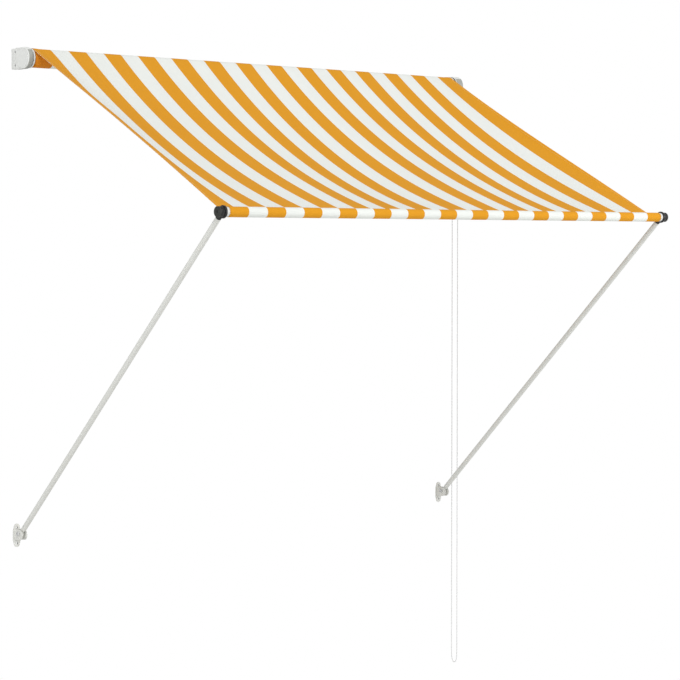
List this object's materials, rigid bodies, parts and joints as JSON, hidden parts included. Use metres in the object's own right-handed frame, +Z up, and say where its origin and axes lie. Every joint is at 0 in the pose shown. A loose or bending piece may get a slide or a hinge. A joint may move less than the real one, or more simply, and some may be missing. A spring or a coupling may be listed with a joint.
{
  "type": "retractable window awning",
  "caption": "Wall-hung drop-arm awning: striped canvas on a chain-driven roller, held out by two hinged arm tubes and a front bar.",
  "frame": {"origin": "on the wall face, at the middle of the left roller bracket's back plate, level with the roller's axis", "axes": "+X along the roller from the left bracket to the right, +Y into the wall, +Z up; the awning is on the -Y side"},
  "size_m": [2.001, 1.1838, 2.3236],
  "materials": {
    "striped_canvas": "woven canvas in yellow and off-white stripes",
    "white_powder_coat": "satin powder coat",
    "white_plastic": "fine moulded texture",
    "black_plastic": "satin moulded",
    "zinc_plate": "zinc plated",
    "nylon": "natural nylon",
    "spring_steel": "drawn wire",
    "bead_chain": "moulded beads on a cord"
  },
  "bodies": {
    "root": {"wall_bracket_left": "zinc_plate", "wall_bracket_right": "zinc_plate", "end_cover_left": "white_plastic", "end_cover_right": "white_plastic", "cover_screw_left_upper": "zinc_plate", "cover_screw_left_lower": "zinc_plate", "cover_screw_right_upper": "zinc_plate", "cover_screw_right_lower": "zinc_plate", "bearing_bush_left": "nylon", "bearing_bush_right": "nylon", "clutch_core": "nylon", "brake_spring": "spring_steel", "arm_bracket_left": "white_powder_coat", "arm_bracket_right": "white_powder_coat", "pivot_bolt_left": "zinc_plate", "pivot_bolt_right": "zinc_plate", "pivot_nut_left": "zinc_plate", "pivot_nut_right": "zinc_plate", "bead_chain": "bead_chain", "chain_over_wheel": "bead_chain", "canopy": "striped_canvas"},
    "roller": {"roller_tube": "zinc_plate", "cloth_roll": "striped_canvas", "roller_plug_left": "white_plastic", "roller_plug_right": "white_plastic", "chain_wheel": "white_plastic"},
    "left_arm": {"arm_foot_left": "white_powder_coat", "arm_tube_left": "white_powder_coat", "arm_head_left": "black_plastic", "foot_rivet_left": "zinc_plate", "head_rivet_left": "zinc_plate"},
    "right_arm": {"arm_foot_right": "white_powder_coat", "arm_tube_right": "white_powder_coat", "arm_head_right": "black_plastic", "foot_rivet_right": "zinc_plate", "head_rivet_right": "zinc_plate"},
    "front_bar": {"bar_tube": "white_powder_coat", "bar_sleeve": "striped_canvas", "bar_plug_left": "white_plastic", "bar_plug_right": "white_plastic", "pivot_cap_left": "black_plastic", "pivot_cap_right": "black_plastic", "cap_screw_left": "zinc_plate", "cap_screw_right": "zinc_plate"}
  },
  "joints": [
    {"name": "left_arm_fold", "type": "hinge", "parent": "root", "child": "left_arm", "pos_m": [-0.0015, -0.03, -1.603], "axis": [-1, 0, 0], "range_deg": [0, 43], "deforming": ["canopy"]},
    {"name": "right_arm_fold", "type": "hinge", "parent": "root", "child": "right_arm", "pos_m": [1.9515, -0.03, -1.603], "axis": [-1, 0, 0], "range_deg": [0, 43]},
    {"name": "bar_turn", "type": "hinge", "parent": "left_arm", "child": "front_bar", "pos_m": [-0.0015, -1.16376, -0.5271], "axis": [1, 0, 0], "range_deg": [0, 105]},
    {"name": "roller_turn", "type": "hinge", "parent": "root", "child": "roller", "pos_m": [0, -0.077, 0], "axis": [-1, 0, 0], "range_deg": [0, 2150]}
  ],
  "couplings": [
    {"joint": "right_arm_fold", "follows": "left_arm_fold", "ratio": 1},
    {"joint": "bar_turn", "follows": "left_arm_fold", "ratio": 2.4},
    {"joint": "roller_turn", "follows": "left_arm_fold", "ratio": 49.5}
  ]
}
